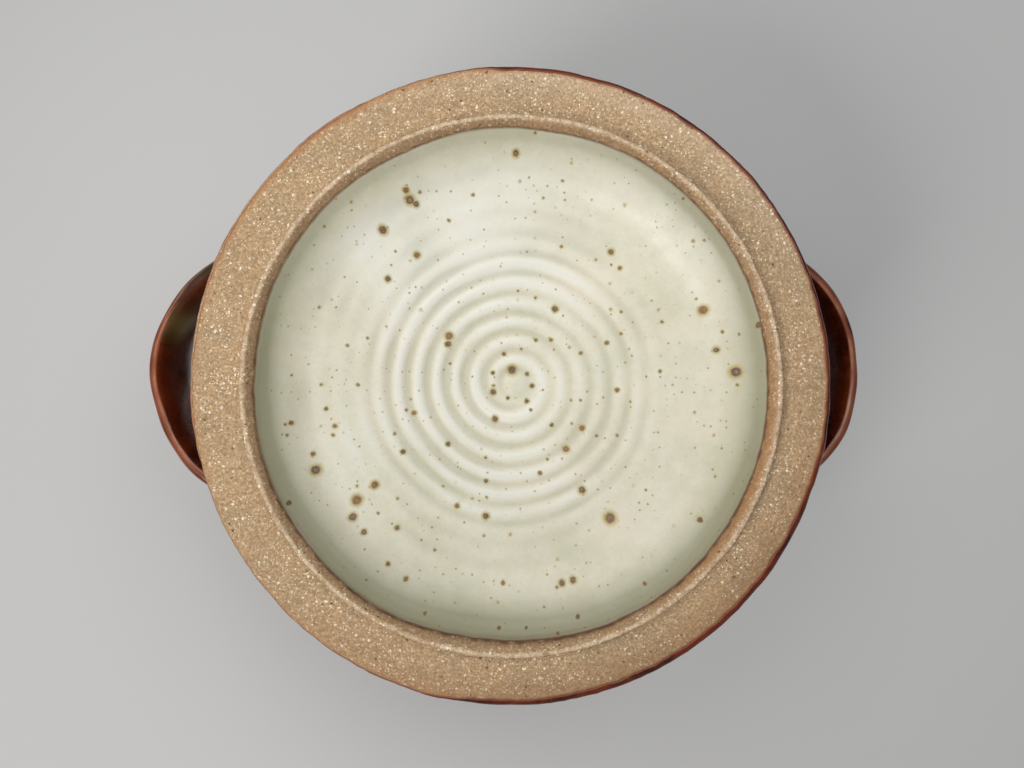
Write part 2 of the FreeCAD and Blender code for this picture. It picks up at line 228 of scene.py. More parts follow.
# The clearest iron spots in the dish: across, down and radius in the photograph's pixels
SPOT_SPREAD = 1.1
IRON_SPOTS = {
    "right_large": (736, 372, 5.2),
    "low_right_large": (610, 518, 5.6),
    "low_left_high": (375, 485, 3.8),
    "low_left_large": (357, 500, 5.0),
    "low_left_low": (353, 517, 3.8),
    "left_low": (316, 470, 4.6),
    "upper_left": (383, 230, 4.2),
    "top_left_pair_low": (410, 200, 4.4),
    "top_left_pair_high": (406, 190, 3.0),
    "top_left_third": (416, 204, 3.0),
    "top": (516, 153, 3.4),
    "right_high": (703, 310, 4.6),
    "right_edge": (759, 325, 3.6),
    "right_small": (716, 350, 3.0),
    "centre": (512, 370, 4.6),
    "low_pair_right": (573, 580, 3.4),
    "low_pair_left": (562, 583, 3.2),
    "low": (425, 613.5, 2.2),
    "bottom_left": (499, 628, 2.2),
    "bottom_middle": (526, 628, 2.0),
    "bottom_right": (558, 633, 1.9),
    "bottom_far_right": (578, 617, 2.4),
    "bottom_high": (503, 583, 2.2),
    "bottom_right_high": (645, 584, 2.3),
    "ring_left": (449, 336, 4.0),
    "ring_left_low": (448, 344, 3.2),
    "ring_right_low": (582, 490, 3.8),
    "inner_left": (493, 392, 3.2),
    "inner_low": (495, 419, 3.2),
    "low_middle": (486, 516, 3.4),
    "ring_top": (555, 309, 3.2),
    "right_low": (700, 520, 3.2),
    "low_right_ring": (566, 449, 3.4),
    "middle_top_left": (504, 354, 2.0),
    "middle_left": (493, 373, 2.0),
    "middle_right_high": (527, 374, 2.0),
    "middle_right": (532, 386, 2.4),
    "middle_right_low": (527, 401, 2.3),
    "middle_low": (508, 398, 1.8),
    "ring_low_right": (552, 425, 2.0),
    "ring_low_right_dark": (582, 428, 3.0),
    "ring_right": (617, 390, 2.4),
    "ring_right_high": (607, 343, 2.1),
    "ring_right_top": (581, 353, 1.9),
    "ring_top_right": (551, 340, 2.0),
    "ring_top_middle": (536, 340, 1.9),
    "above_rings": (417, 255, 3.3),
    "above_rings_left": (388, 279, 3.0),
    "above_rings_right": (611, 252, 3.0),
    "above_rings_far_right": (620, 268, 2.2),
    "left_of_rings": (414, 413, 2.4),
    "left_of_rings_low": (403, 452, 2.6),
    "ring_low_left": (448, 444, 2.5),
    "ring_bottom": (486, 481, 2.3),
    "ring_bottom_right": (540, 473, 2.1),
    "below_rings_left": (457, 506, 2.5),
    "low_left_pair_low": (364, 532, 2.7),
    "low_left_right": (397, 528, 2.7),
    "low_left_bottom": (388, 564, 2.2),
    "low_left_edge": (289, 503, 2.8),
    "low_left_inner": (406, 579, 2.4),
    "left_middle": (335, 426, 2.3),
    "left_high": (326, 409, 2.1),
    "left_edge_low": (291, 423, 2.3),
    "left_low_high": (313, 454, 2.3),
}


# Numbers over a surface

def waves(seed, period, *fields):
    """A smooth unevenness of about one either way, with a period and coordinates in millimetres."""
    count = 20
    random = np.random.default_rng(seed)
    total = 0.0
    for _ in range(count):
        direction = random.normal(size=len(fields))
        direction /= np.linalg.norm(direction)
        pitch = 2 * math.pi / (period * random.uniform(0.7, 1.6))
        phase = random.uniform(0, 2 * math.pi)
        total = total + np.sin(pitch * sum(d * f for d, f in zip(direction, fields)) + phase)
    return total / math.sqrt(count / 2)


def smooth_step(low, high, value):
    share = np.clip((value - low) / (high - low), 0, 1)
    return share * share * (3 - 2 * share)


def hump(value, middle, width):
    return np.exp(-(((value - middle) / width) ** 2))


def around(angle, amounts):
    """The amount at an angle, between those given at some angles in degrees."""
    degrees = np.degrees(angle) % 360
    turns = sorted(amounts)
    return np.interp(degrees, turns, [amounts[turn] for turn in turns], period=360)


def circle(radius, angle):
    return radius * np.cos(angle), radius * np.sin(angle)


# Sections

def ball_height(radius, bottom, curve):
    return bottom + curve - np.sqrt(curve * curve - radius * radius)


def rounded(corners):
    """Points along a section through corners of a radius, a height and a bend's radius."""
    points = [np.array(corners[0][:2])]
    for before, here, after in zip(corners, corners[1:], corners[2:]):
        corner = np.array(here[:2])
        bend = here[2]
        if bend == 0:
            points.append(corner)
            continue
        back = np.array(before[:2]) - corner
        on = np.array(after[:2]) - corner
        back = back / np.linalg.norm(back)
        on = on / np.linalg.norm(on)
        half = math.acos(np.clip(np.dot(back, on), -1, 1)) / 2
        reach = bend / math.tan(half)
        middle = (back + on) / np.linalg.norm(back + on)
        centre = corner + middle * bend / math.sin(half)
        first = corner + back * reach - centre
        last = corner + on * reach - centre
        turn = math.pi - 2 * half
        side = np.sign(first[0] * last[1] - first[1] * last[0])
        steps = max(3, math.ceil(turn * bend / ROUNDING_STEP))
        for step in range(steps + 1):
            angle = side * turn * step / steps
            cos, sin = math.cos(angle), math.sin(angle)
            points.append(centre + (cos * first[0] - sin * first[1], sin * first[0] + cos * first[1]))
    points.append(np.array(corners[-1][:2]))
    return np.array(points)


class Section:
    """A turned section, as places and outward directions along its length."""

    SPACING = 0.25
    SMOOTHING = 3

    def __init__(self, corners):
        points = rounded(corners)
        steps = np.hypot(*np.diff(points, axis=0).T)
        rough = np.concatenate([[0], np.cumsum(steps)])
        self.length = np.linspace(0, rough[-1], int(rough[-1] / self.SPACING))
        self.radius = np.interp(self.length, rough, points[:, 0])
        self.height = np.interp(self.length, rough, points[:, 1])
        ahead = np.minimum(np.arange(len(self.length)) + self.SMOOTHING, len(self.length) - 1)
        behind = np.maximum(np.arange(len(self.length)) - self.SMOOTHING, 0)
        out = self.radius[ahead] - self.radius[behind]
        up = self.height[ahead] - self.height[behind]
        size = np.hypot(out, up)
        self.lean = -up / size
        self.rise = out / size

    def near(self, radius, height):
        """The length at which the section passes closest to a place."""
        return self.length[np.argmin((self.radius - radius) ** 2 + (self.height - height) ** 2)]

    def at(self, along, lift=0.0):
        """Radius and height at a length, raised off the surface by a lift."""
        radius = np.interp(along, self.length, self.radius)
        height = np.interp(along, self.length, self.height)
        radius = radius + lift * np.interp(along, self.length, self.lean)
        height = height + lift * np.interp(along, self.length, self.rise)
        return np.maximum(radius, 0), height


# Meshes

def make_piece(name, places, faces, marks, finish):
    mesh = bpy.data.meshes.new(name)
    mesh.from_pydata((places * MM).tolist(), [], faces)
    for mark, values in marks.items():
        layer = mesh.attributes.new(mark, "FLOAT", "POINT")
        layer.data.foreach_set("value", np.ascontiguousarray(values, np.float32))
    mesh.shade_smooth()
    mesh.materials.append(finish)
    piece = bpy.data.objects.new(name, mesh)
    bpy.context.scene.collection.objects.link(piece)
    return piece


def grid_faces(rows, columns, closed):
    """Quads between neighbouring rows of a ring-shaped grid."""
    index = np.arange(rows * columns).reshape(rows, columns)
    if closed:
        index = np.vstack([index, index[:1]])
    following = np.roll(index, -1, axis=1)
    quads = np.stack([index[:-1], index[1:], following[1:], following[:-1]], axis=-1)
    return quads.reshape(-1, 4)


def turned_piece(name, radius, height, angle, centre, marks, finish, from_axis=True):
    """A solid of revolution whose rows of radius and height vary with the angle. Its first and
    last rows close on the axis, or else join each other."""
    rows, columns = radius.shape
    faces = grid_faces(rows, columns, not from_axis)
    across = centre[0] + radius * np.cos(angle)
    deep = centre[1] + radius * np.sin(angle)
    places = np.stack([across, deep, height + 0 * radius], axis=-1).reshape(-1, 3)
    if not from_axis:
        return make_piece(name, places, faces.tolist(), flat_marks(marks, radius), finish)
    first_pole, last_pole = 0, (rows - 1) * columns
    for pole in (first_pole, last_pole):
        places[pole] = places[pole : pole + columns].mean(axis=0)
    inner = faces[columns:-columns].tolist()
    first_fan = [[first_pole, quad[1], quad[2]] for quad in faces[:columns].tolist()]
    last_fan = [[quad[0], last_pole, quad[3]] for quad in faces[-columns:].tolist()]
    kept = np.ones(rows * columns, bool)
    kept[first_pole + 1 : columns] = False
    kept[last_pole + 1 :] = False
    number = np.cumsum(kept) - 1
    faces = [[int(number[v]) for v in face] for face in first_fan + inner + last_fan]
    flat = {mark: values[kept] for mark, values in flat_marks(marks, radius).items()}
    return make_piece(name, places[kept], faces, flat, finish)


def flat_marks(marks, like):
    return {mark: np.broadcast_to(values, like.shape).reshape(-1) for mark, values in marks.items()}


def ring_angles(columns):
    return np.arange(columns)[None, :] * 2 * math.pi / columns


def bead(distance):
    """How full a glaze layer stands at a distance inside its edge, from 0 to a little over 1."""
    inside = np.clip(distance / GLAZE_BEAD, 0, 1)
    return np.sqrt(1 - (1 - inside) ** 2) + 0.25 * hump(distance, 1.1, 0.7)


# Materials

class Finish:
    """A material put together from nodes. Periods are millimetres on the surface."""

    def __init__(self, name):
        self.material = bpy.data.materials.new(name)
        self.material.use_nodes = True
        self.tree = self.material.node_tree
        self.shader = self.tree.nodes["Principled BSDF"]
        self.place = self.add("ShaderNodeTexCoord").outputs["Object"]

    def add(self, kind, inputs=(), **settings):
        node = self.tree.nodes.new(kind)
        for setting, value in settings.items():
            setattr(node, setting, value)
        for socket, value in dict(inputs).items():
            self.put(node.inputs[socket], value)
        return node

    def put(self, socket, value):
        if isinstance(value, bpy.types.NodeSocket):
            self.tree.links.new(value, socket)
        else:
            socket.default_value = value

    def math(self, operation, first, second):
        return self.add("ShaderNodeMath", {0: first, 1: second}, operation=operation).outputs[0]

    def times(self, first, second):
        return self.math("MULTIPLY", first, second)

    def span(self, value, low, high, to_low=0.0, to_high=1.0):
        """Value between low and high, eased onto another range."""
        inputs = {"Value": value, "From Min": low, "From Max": high}
        inputs |= {"To Min": to_low, "To Max": to_high}
        node = self.add("ShaderNodeMapRange", inputs, interpolation_type="SMOOTHSTEP")
        return node.outputs["Result"]

    def noise(self, period, detail=2.0, roughness=0.5, distortion=0.0, place=None):
        inputs = {"Vector": place or self.place, "Scale": 1 / (period * MM)}
        inputs |= {"Detail": detail, "Roughness": roughness, "Distortion": distortion}
        return self.add("ShaderNodeTexNoise", inputs).outputs["Fac"]

    def cells(self, period, place=None):
        """Distance to the nearest of many scattered points, and two random numbers for each."""
        inputs = {"Vector": place or self.place, "Scale": 1 / (period * MM)}
        node = self.add("ShaderNodeTexVoronoi", inputs)
        chance = self.add("ShaderNodeSeparateColor", {"Color": node.outputs["Color"]})
        return node.outputs["Distance"], chance.outputs["Red"], chance.outputs["Green"]

    def mark(self, name):
        return self.add("ShaderNodeAttribute", attribute_name=name).outputs["Fac"]

    def mix(self, share, first, second):
        node = self.add("ShaderNodeMix", data_type="RGBA", blend_type="MIX")
        self.put(node.inputs[0], share)
        self.put(node.inputs[6], colour(first))
        self.put(node.inputs[7], colour(second))
        return node.outputs[2]

    def vector_math(self, operation, first, second):
        inputs = {0: first, 1: second}
        return self.add("ShaderNodeVectorMath", inputs, operation=operation).outputs[0]

    def warped(self, period, reach):
        """The place, pushed about by a noise so that outlines come out uneven."""
        inputs = {"Vector": self.place, "Scale": 1 / (period * MM), "Detail": 2.0}
        noise = self.add("ShaderNodeTexNoise", inputs).outputs["Color"]
        centred = self.vector_math("SUBTRACT", noise, (0.5, 0.5, 0.5))
        push = self.add("ShaderNodeVectorMath", {0: centred}, operation="SCALE")
        push.inputs["Scale"].default_value = 2 * reach * MM
        return self.vector_math("ADD", self.place, push.outputs[0])

    def bump(self, height, depth, below=None):
        """A bump whose heights from 0 to 1 stand for a depth in millimetres."""
        node = self.add("ShaderNodeBump", {"Strength": 1.0, "Distance": depth * MM, "Height": height})
        if below is not None:
            self.put(node.inputs["Normal"], below)
        return node.outputs["Normal"]

    def finish(self, base, roughness, normal, specular=0.5):
        self.put(self.shader.inputs["Base Color"], base)
        self.put(self.shader.inputs["Roughness"], roughness)
        self.put(self.shader.inputs["Normal"], normal)
        self.shader.inputs["Specular IOR Level"].default_value = specular
        return self.material


def colour(value):
    return (*value, 1.0) if isinstance(value, tuple) else value


def specks(f, period, largest, share, place=None):
    """Scattered round specks, as the distance from a speck's middle over its radius. Their
    largest radius is given in periods, and the share of cells that have one."""
    distance, chance, size = f.cells(period, place)
    radius = f.times(f.span(size, 0, 1, 0.35, 1.0), largest)
    missing = f.times(f.math("GREATER_THAN", chance, share), FAR)
    return f.math("ADD", f.math("DIVIDE", distance, radius), missing)


def make_stoneware():
    """Unglazed toasted clay, sandy with pale grit and a few dark specks, with painted light along the
    ring's crest and painted shade laid in by marks.
    """
    f = Finish("bare_stoneware")
    cloud = f.span(f.noise(38, 3, 0.55), 0.3, 0.7)
    mottle = f.noise(4, 4, 0.65)
    sand = f.noise(1.1, 4, 0.7)
    base = f.mix(cloud, CLAY_BROWN, CLAY_TAN)
    base = f.mix(f.span(mottle, 0.35, 0.68), base, CLAY_YELLOW)
    base = f.mix(f.span(f.noise(15, 3, 0.6), 0.48, 0.66, 0, 0.55), base, CLAY_GREYISH)
    base = f.mix(f.span(sand, 0.55, 0.32), base, CLAY_PIT)
    base = f.mix(f.span(sand, 0.52, 0.75), base, CLAY_CREST)
    gritty = f.span(sand, 0.38, 0.6, 0.35, 0.8)
    # Painted light: paler along the ring's crest and on the flange's +Y side
    base = f.mix(f.times(f.mark("painted_clay_light"), gritty), base, CLAY_PAINTED_LIGHT)
    patchy = f.span(f.noise(8, 3, 0.6), 0.34, 0.58, 0.2, 1.0)
    uneven = f.warped(0.7, 0.5)
    fine = f.span(specks(f, 0.95, 0.42, 0.85, uneven), 1.0, 0.5)
    coarse = f.span(specks(f, 1.9, 0.36, 0.65, uneven), 1.0, 0.6)
    pale = f.times(f.math("MAXIMUM", fine, coarse), patchy)
    base = f.mix(f.times(pale, 0.9), base, PALE_GRIT)
    # Toasted clay, with painted shade on the flange's -Y side
    base = f.mix(f.times(f.mark("toast_and_shade"), 0.75), base, CLAY_TOASTED_AND_SHADED)
    dark = f.span(specks(f, 3.6, 0.19, 0.5, uneven), 1.0, 0.6)
    base = f.mix(f.times(dark, 0.8), base, DARK_GRIT)
    # Stains at the glaze edges, with painted shade on the ring's inner slope and the flange's -Y side
    base = f.mix(f.mark("stain_and_shade"), base, CLAY_STAINED_AND_SHADED)
    height = f.math("ADD", f.times(sand, 0.7), f.times(pale, 0.3))
    height = f.math("SUBTRACT", height, f.times(dark, 0.5))
    normal = f.bump(height, 0.14)
    roughness = f.span(sand, 0.2, 0.8, 0.82, 0.96)
    return f.finish(base, roughness, normal, 0.3)


def make_pale_glaze():
    """Satin grey-green glaze, whiter on the rings, pooling in hollows and spotted with iron, with
    painted light, a painted highlight and painted shade mixed into its colour.
    """
    f = Finish("pale_glaze")
    cloud = f.span(f.noise(45, 3, 0.5), 0.3, 0.7)
    base = f.mix(cloud, PALE_GREY, PALE_CREAM)
    base = f.mix(f.span(f.noise(7, 4, 0.6), 0.35, 0.7, 0, 0.6), base, PALE_LIGHT)
    base = f.mix(f.span(f.noise(2.2, 3, 0.6), 0.45, 0.75, 0, 0.3), base, PALE_FLECK)
    base = f.mix(f.span(f.noise(0.9, 3, 0.7), 0.42, 0.68, 0, 0.24), base, PALE_GRAIN)
    base = f.mix(f.span(f.noise(17, 3, 0.6), 0.52, 0.72, 0, 0.4), base, PALE_GREEN)
    base = f.mix(f.span(f.noise(23, 3, 0.6), 0.48, 0.7, 0, 0.5), base, PALE_PINK)
    # Whiter ring crests, with painted light and a painted highlight
    base = f.mix(f.times(f.mark("white_and_painted_light"), 0.55), base, PALE_WHITE_AND_PAINTED_LIGHT)
    # Pooled glaze, darkened further by painted shade
    base = f.mix(f.times(f.mark("pool_and_shade"), 0.85), base, PALE_POOLED_AND_SHADED)
    base = f.mix(f.mark("thin"), base, PALE_BURNT)
    uneven = f.warped(1.6, 0.45)
    base = iron_specks(f, base, specks(f, 2.9, 0.17, 0.6, uneven), 0.6)
    base = iron_specks(f, base, specks(f, 5.2, 0.16, 0.6, uneven), 0.8)
    spots = placed_spots(f, uneven)
    base = iron_specks(f, base, spots, 1.0)
    normal = f.bump(f.noise(9, 2, 0.5), 0.1)
    normal = f.bump(f.noise(1.8, 3, 0.5), 0.015, normal)
    core = f.span(spots, 1.0, 0.6)
    normal = f.bump(f.math("SUBTRACT", 1.0, core), 0.08, normal)
    roughness = f.span(f.noise(12, 3, 0.6), 0.3, 0.7, 0.32, 0.42)
    roughness = f.math("ADD", roughness, f.times(core, 0.15))
    return f.finish(base, roughness, normal)


def iron_specks(f, base, away, strength):
    """Iron burnt into the glaze: an olive halo, a dark brown rim and a mottled heart."""
    clear = f.span(f.mark("pool_and_shade"), 0.3, 0.8, 0.85 * strength, 0.1)
    halo = f.times(f.span(away, 1.75, 0.75), clear)
    base = f.mix(halo, base, SPOT_HALO)
    tint = f.span(f.noise(11, 2, 0.5), 0.4, 0.6)
    rim = f.mix(tint, SPOT_DARK, SPOT_RUST)
    base = f.mix(f.times(f.span(away, 1.05, 0.5), strength), base, rim)
    mottle = f.span(f.noise(1.2, 3, 0.6), 0.35, 0.6)
    heart = f.times(f.span(away, 0.6, 0.25), f.times(mottle, clear))
    return f.mix(heart, base, SPOT_HEART)


def placed_spots(f, place):
    """Distance to the nearest large iron spot over its radius, seen from above."""
    flat = f.vector_math("MULTIPLY", place, (1, 1, 0))
    nearest = FAR
    for across, down, size in IRON_SPOTS.values():
        x, y, scale = on_dish(across, down)
        spot = {0: flat, 1: (x * MM, y * MM, 0)}
        distance = f.add("ShaderNodeVectorMath", spot, operation="DISTANCE").outputs["Value"]
        share = f.math("DIVIDE", distance, SPOT_SPREAD * size * scale * MM)
        nearest = f.math("MINIMUM", share, nearest)
    height = f.add("ShaderNodeSeparateXYZ", {0: f.place}).outputs["Z"]
    hidden = f.times(f.math("LESS_THAN", height, (DISH_BOTTOM - 2) * MM), FAR)
    return f.math("ADD", nearest, hidden)


def on_dish(across, down):
    """Where a pixel of the photograph falls on the dish, and the millimetres in a pixel there."""
    in_dish = lid_section.length < dish_edge
    height = DISH_BOTTOM
    for _ in range(4):
        scale = (CAMERA_PLACE[2] - height) * SENSOR / LENS / PICTURE_WIDTH
        x = CAMERA_PLACE[0] + (across - PICTURE_WIDTH / 2) * scale
        y = CAMERA_PLACE[1] + (PICTURE_HEIGHT / 2 - down) * scale
        reach = math.hypot(x - LID_CENTRE[0], y - LID_CENTRE[1])
        height = float(np.interp(reach, lid_section.radius[in_dish], lid_section.height[in_dish]))
    return x, y, scale


def make_iron_glaze():
    """Glossy iron glaze, deep red to nearly black, breaking to rust where it is thin."""
    f = Finish("iron_glaze")
    streak = f.noise(26, 4, 0.6, 0.4, f.vector_math("MULTIPLY", f.place, (1, 1, 0.35)))
    base = f.mix(f.span(streak, 0.36, 0.64), IRON_BLACK, IRON_RED)
    base = f.mix(f.span(f.noise(6, 4, 0.65), 0.42, 0.75, 0, 0.6), base, IRON_BRIGHT)
    base = f.mix(f.span(f.noise(0.9, 3, 0.6), 0.52, 0.8, 0, 0.3), base, IRON_GRAIN)
    base = f.mix(f.span(f.mark("thin"), 0.0, 0.5), base, IRON_THIN)
    base = f.mix(f.mark("olive"), base, IRON_OLIVE)
    base = f.mix(f.times(f.mark("dark"), 0.8), base, IRON_DARK)
    broken = f.math("ADD", f.mark("thin"), f.times(f.noise(3.2, 3, 0.6), 0.4))
    pale_break = f.mix(f.mark("dark"), IRON_BREAK, IRON_DARK_BREAK)
    base = f.mix(f.span(broken, 0.75, 1.2), base, pale_break)
    dark_specks = f.span(specks(f, 3.2, 0.14, 0.35), 1.0, 0.6)
    base = f.mix(f.times(dark_specks, 0.6), base, IRON_SPECK)
    normal = f.bump(f.noise(5, 2, 0.5), 0.08)
    normal = f.bump(f.noise(1.1, 2, 0.5), 0.012, normal)
    roughness = f.span(f.noise(14, 3, 0.6), 0.3, 0.7, 0.14, 0.28)
    return f.finish(base, roughness, normal, 0.32)


# Lid section, from the middle of the dish over the ring and round under the dome

dish_curve = (DISH_CORNER_RADIUS**2 / DISH_RISE + DISH_RISE) / 2
dome_curve = dish_curve + LID_WALL
dish_radii = np.arange(0, BALL_END + 0.1, BALL_STEP)
dish_floor = [(r, ball_height(r, DISH_BOTTOM, dish_curve), 0) for r in dish_radii]
dome_bottom = DISH_BOTTOM - LID_WALL
dome_corner = DISH_CORNER_RADIUS + LID_WALL / 2
dome_radii = np.arange(BALL_END, -0.1, -BALL_STEP)
dome_side = [(r, ball_height(r, dome_bottom, dome_curve), 0) for r in dome_radii]
lid_section = Section(
    dish_floor
    + [
        (DISH_CORNER_RADIUS, DISH_BOTTOM + DISH_RISE, 30),
        (RING_INSIDE, FLANGE_TOP, 1.2),
        (RING_CREST_INSIDE, RING_CREST, 0.8),
        (RING_CREST_OUTSIDE, RING_CREST, 0.8),
        (RING_OUTSIDE, FLANGE_TOP, 2.6),
        (FLANGE_RADIUS, FLANGE_TOP, 2.5),
        (FLANGE_RADIUS, POT_TOP, 2.5),
        (DOME_EDGE, POT_TOP, 2),
        (dome_corner, ball_height(dome_corner, dome_bottom, dome_curve), 36),
    ]
    + dome_side
)
dish_edge = lid_section.near(RING_INSIDE + 0.3, FLANGE_TOP + 0.6)
flange_edge = lid_section.near(FLANGE_RADIUS - 0.2, FLANGE_TOP - 1.6)
lid_end = lid_section.length[-1]


def dish_glaze_line(angle):
    """Where the pale glaze ends below the ring, lowest at the front."""
    x, y = circle(RING_INSIDE - 1, angle)
    dip = 1.5 * hump(np.degrees(angle), 272, 20)
    line = dish_edge - dip + 0.3 * waves(11, 60, x, y)
    return line + 0.09 * waves(12, 9, x, y) + 0.04 * waves(13, 2.6, x, y)


def lap_line(angle):
    """Where the iron glaze begins on the flange's edge."""
    x, y = circle(FLANGE_RADIUS - 1, angle)
    line = flange_edge + 0.6 - around(angle, LAP)
    return line - 0.12 * waves(14, 9, x, y) - 0.06 * waves(15, 3, x, y)


def dish_relief(along, angle):
    """The throwing spiral with its button, the fading rings beyond it, and a cove by the ring."""
    radius, _ = lid_section.at(along)
    x, y = circle(radius, angle)
    from_spiral = np.hypot(x - SPIRAL_CENTRE[0], y - SPIRAL_CENTRE[1])
    bearing = np.arctan2(y - SPIRAL_CENTRE[1], x - SPIRAL_CENTRE[0])
    turned = (SPIRAL_START - bearing) % (2 * math.pi) / (2 * math.pi)
    wander = 0.03 * waves(21, 45, x, y)
    wave = np.cos(2 * math.pi * (from_spiral / SPIRAL_PITCH - turned - SPIRAL_PHASE + wander))
    fade = smooth_step(SPIRAL_FADES_FROM, SPIRAL_FADES_TO, from_spiral)
    strength = 1 - fade * SPIRAL_FADES_BY
    strength = strength * smooth_step(3, 12, from_spiral) * (1 - smooth_step(80, 94, from_spiral))
    strength = strength * (1 + 0.12 * waves(22, 26, x, y)) * around(bearing, RING_STRENGTH)
    relief = SPIRAL_HEIGHT * strength * wave
    button = 0.15 * hump(from_spiral, 0, 3.4) - 0.25 * hump(from_spiral, 6.0, 2.2)
    cove = -0.2 * hump(radius, 96.8, 3.0)
    uneven = 0.07 * waves(23, 42, x, y) * (1 - smooth_step(88, 100, radius))
    return np.where(along < dish_edge + 4, relief + button + cove + uneven, 0)


def lid_relief(along, angle):
    radius, _ = lid_section.at(along)
    x, y = circle(radius, angle)
    relief = dish_relief(along, angle)
    on_top = smooth_step(dish_edge, dish_edge + 3, along)
    relief = relief + on_top * (0.1 * waves(24, 16, x, y) + 0.05 * waves(25, 5, x, y))
    lines = np.cos(2 * math.pi * radius / 2.9 + 0.8 * waves(26, 60, x, y))
    ledge = smooth_step(107, 109, radius) * (1 - smooth_step(122, 124, radius))
    relief = relief + 0.035 * lines * ledge * on_top
    under = smooth_step(flange_edge + 14, flange_edge + 30, along)
    turns = np.cos(2 * math.pi * radius / 6.2 + 0.7 * waves(27, 50, x, y))
    return relief + under * 0.16 * turns * smooth_step(14, 24, radius)


def settle(distance):
    """How far the clay lies under the section, at a distance inside a glaze's edge."""
    return -GLAZE_THICKNESS * smooth_step(0.5, GLAZE_SETTLES, distance)


def glaze_lift(relief, inside):
    """How far a glaze's face lies off the section, at a distance inside its edge."""
    return relief + settle(inside) + GLAZE_THICKNESS * bead(inside)


def glaze_rows(edge, count):
    """Lengths from the axis to a glaze's edge, dense beside the edge."""
    main = np.linspace(0, 1, count)[:, None] * (edge - EDGE_ZONE)
    last = edge - EDGE_ZONE + np.linspace(0.25, EDGE_ZONE, 12)[:, None]
    return np.vstack([main, last])


def with_underside(section, along, lift, under_along, depth):
    """Radius and height of a glaze's face and of its underside, a depth inside the section."""
    under_lift = 0 * under_along - depth
    return section.at(np.vstack([along, under_along]), np.vstack([lift, under_lift]))


def face_marks(marks, under_along):
    """The marks of a glaze's face, with none on its underside."""
    blank = 0 * under_along
    return {mark: np.vstack([values, blank]) for mark, values in marks.items()}


def lid_settle(along, angle):
    return settle(dish_glaze_line(angle) - along) + settle(along - lap_line(angle))


def build_lid_clay(finish):
    angle = ring_angles(LID_COLUMNS)
    below_dish = np.arange(0, dish_edge - 10, 2.5)
    top = np.arange(dish_edge - 10, flange_edge + 5, 0.42)
    below_dome = np.linspace(flange_edge + 5, lid_end, 50)
    rows = np.concatenate([below_dish, top, below_dome])
    along = rows[:, None] + 0 * angle
    lift = lid_relief(along, angle) + lid_settle(along, angle)
    radius, height = lid_section.at(along, lift)
    x, y = circle(radius, angle)
    to_dish_glaze = along - dish_glaze_line(angle)
    to_lap = lap_line(angle) - along
    broken = 0.85 + 0.25 * waves(31, 5, x, y)
    burn = around(angle, EDGE_BURN)
    stain_and_shade = (0.55 + 0.35 * burn) * hump(to_dish_glaze, 0.1, 0.4 + 0.5 * burn) * broken
    stain_and_shade = stain_and_shade + 0.5 * hump(to_lap, 0, 0.45) * broken
    flash = around(angle, FLANGE_FLASH) * smooth_step(121.5, 125.6, radius)
    toast_and_shade = flash + 0.35 * hump(to_dish_glaze, 1.5, 1.6)
    # Painted shade: the flange made darker and browner on its -Y side
    painted_shade = around(angle, FLANGE_PAINTED_SHADE) * smooth_step(108, 125, radius)
    toast_and_shade = toast_and_shade + 0.45 * painted_shade
    toast_and_shade = toast_and_shade + 0.5 * around(angle, RING_TOAST) * hump(to_dish_glaze, 2.0, 2.5)
    # Painted shade on the ring's inner slope, and the flange's painted shade
    stain_and_shade = stain_and_shade + 0.2 * hump(to_dish_glaze, 1.6, 1.8) + 0.36 * painted_shade
    # Painted highlight along the ring's crest, and painted light on the flange's +Y side
    crest = lid_section.near(RING_CREST_INSIDE + 0.6, RING_CREST)
    painted_clay_light = hump(along, crest, 0.8) * (0.8 + 0.4 * waves(32, 5, x, y))
    painted_clay_light = painted_clay_light + around(angle, FLANGE_PAINTED_LIGHT) * smooth_step(112, 122, radius)
    marks = {"stain_and_shade": np.clip(stain_and_shade, 0, 1), "toast_and_shade": np.clip(toast_and_shade, 0, 1), "painted_clay_light": np.clip(painted_clay_light, 0, 1)}
    return turned_piece("lid_clay", radius, height, angle, LID_CENTRE, marks, finish)


